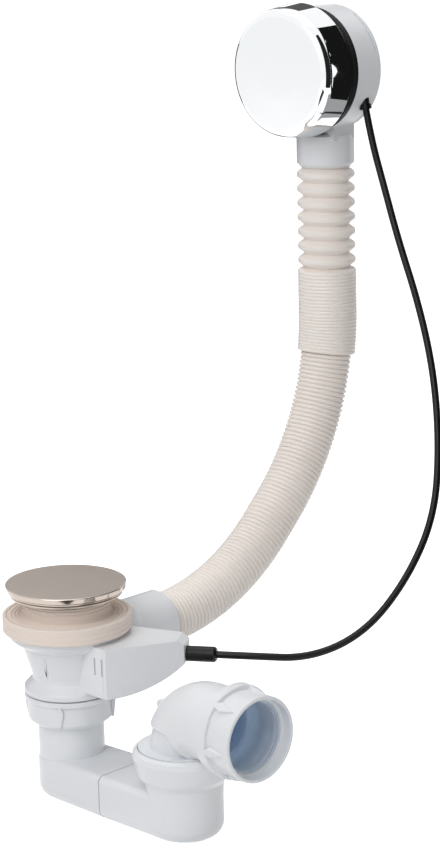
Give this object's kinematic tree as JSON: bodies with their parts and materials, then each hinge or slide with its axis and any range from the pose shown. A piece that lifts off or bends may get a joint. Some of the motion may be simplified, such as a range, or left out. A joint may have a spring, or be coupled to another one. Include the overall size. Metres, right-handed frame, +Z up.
{
  "type": "bath waste and overflow",
  "caption": "Bath waste and overflow with a turn-knob pop-up plug worked by a cable, a bellows overflow hose and a flat trap with a swivel outlet elbow.",
  "frame": {"origin": "on the waste axis, at the bath's underside, where the waste seal presses against it", "axes": "+Z up along the waste axis; +X towards the overflow; the trap runs towards -Y"},
  "size_m": [0.2923, 0.206, 0.4577],
  "materials": {
    "chrome": "bright chrome plate",
    "satin_steel": "satin with a polished rim",
    "plain_steel": "plain",
    "brass": "turned",
    "white_plastic": "moulded, half gloss",
    "inner_plastic": "moulded",
    "cream_plastic": "blown, satin",
    "cream_rubber": "moulded, matt",
    "black_rubber": "moulded, matt",
    "black_plastic": "extruded, half matt"
  },
  "bodies": {
    "root": {"waste_flange": "satin_steel", "waste_skirt": "satin_steel", "flange_screws": "plain_steel", "lever_pin": "plain_steel", "waste_body": "white_plastic", "mechanism_cover": "white_plastic", "union_nut": "white_plastic", "trap_inlet": "white_plastic", "trap_outlet": "white_plastic", "overflow_body": "white_plastic", "overflow_rear_cover": "white_plastic", "stem_guide": "inner_plastic", "overflow_flange": "inner_plastic", "overflow_hose": "cream_plastic", "waste_seal": "cream_rubber", "overflow_seal": "black_rubber", "union_seal": "black_rubber", "elbow_seal": "black_rubber", "cable_sheath": "black_plastic", "cable_ferrule_lower": "black_plastic", "cable_ferrule_upper": "black_plastic"},
    "knob": {"overflow_knob": "chrome", "knob_spindle": "brass", "cable_drum": "inner_plastic", "cable_nipple": "brass"},
    "plug": {"plug_cap": "satin_steel", "plug_carrier": "inner_plastic", "plug_seal": "black_rubber", "plug_foot_screw": "brass", "plug_locknut": "brass"},
    "lever": {"rocker_lever": "inner_plastic"},
    "slider": {"cable_slider": "inner_plastic", "cable_core_end": "plain_steel"},
    "elbow": {"outlet_elbow": "white_plastic", "compression_nut": "white_plastic", "compression_seal": "black_rubber", "slip_ring": "white_plastic"}
  },
  "joints": [
    {"name": "knob_turn", "type": "hinge", "parent": "root", "child": "knob", "pos_m": [0.2155, 0, 0.3023], "axis": [-1, 0, 0], "range_deg": [0, 45]},
    {"name": "plug_lift", "type": "slide", "parent": "root", "child": "plug", "axis": [0, 0, 1], "range_m": [0, 0.009]},
    {"name": "lever_swing", "type": "hinge", "parent": "root", "child": "lever", "pos_m": [0.01451, -0.02277, -0.0365], "axis": [0.8434, 0.5373, 0], "range_deg": [0, 22.95]},
    {"name": "cable_pull", "type": "slide", "parent": "root", "child": "slider", "axis": [0.5373, -0.8434, 0], "range_m": [0, 0.00568]},
    {"name": "outlet_swivel", "type": "hinge", "parent": "root", "child": "elbow", "pos_m": [0, -0.096, -0.07], "axis": [0, 0, 1], "range_deg": [-110, 45]}
  ],
  "couplings": [
    {"joint": "plug_lift", "follows": "knob_turn", "m_per_rad": 0.011459},
    {"joint": "lever_swing", "follows": "knob_turn", "ratio": 0.5093},
    {"joint": "cable_pull", "follows": "knob_turn", "m_per_rad": 0.007232}
  ]
}
